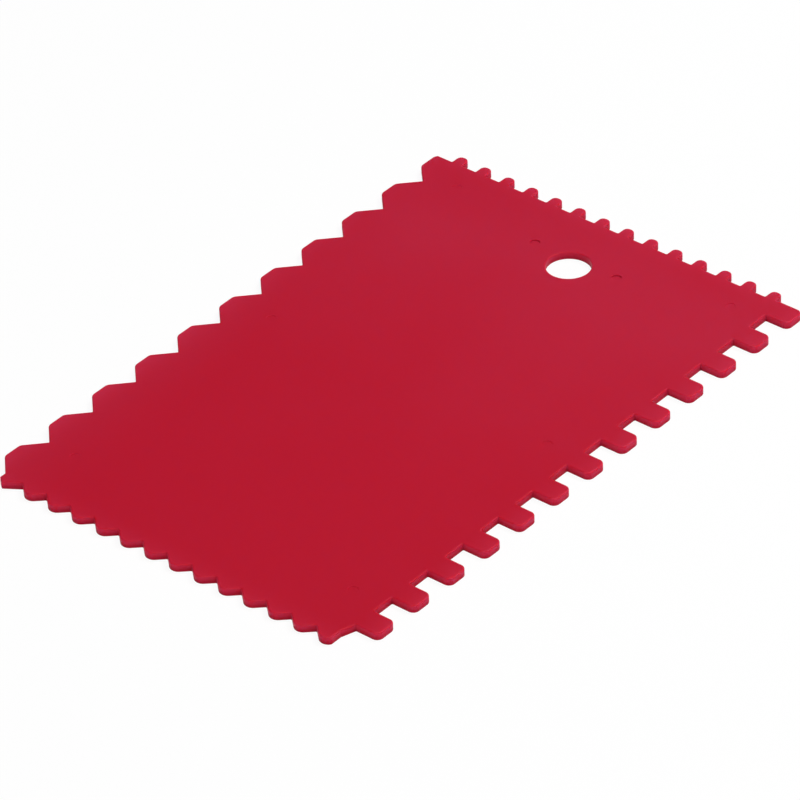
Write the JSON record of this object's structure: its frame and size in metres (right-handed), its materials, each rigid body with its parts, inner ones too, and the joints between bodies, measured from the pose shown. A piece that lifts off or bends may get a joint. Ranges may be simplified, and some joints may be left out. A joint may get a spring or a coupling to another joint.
{
  "type": "notched trowel",
  "caption": "Flat rectangular plastic adhesive spreader, each edge cut to its own tooth row: V notches, square notches, scallops or round pins, with a hanging hole.",
  "frame": {"origin": "middle of the plate's outline, on its underside", "axes": "+X along the long edges from the scalloped end to the pin end, +Y towards the V-notched edge, +Z out of the upper face"},
  "size_m": [0.1606, 0.1068, 0.002],
  "materials": {
    "moulded_plastic": "satin crimson-red injection-moulded plastic, slightly translucent, a little paler at the tooth tips"
  },
  "bodies": {
    "root": {"spreader_plate": "moulded_plastic"}
  },
  "joints": []
}
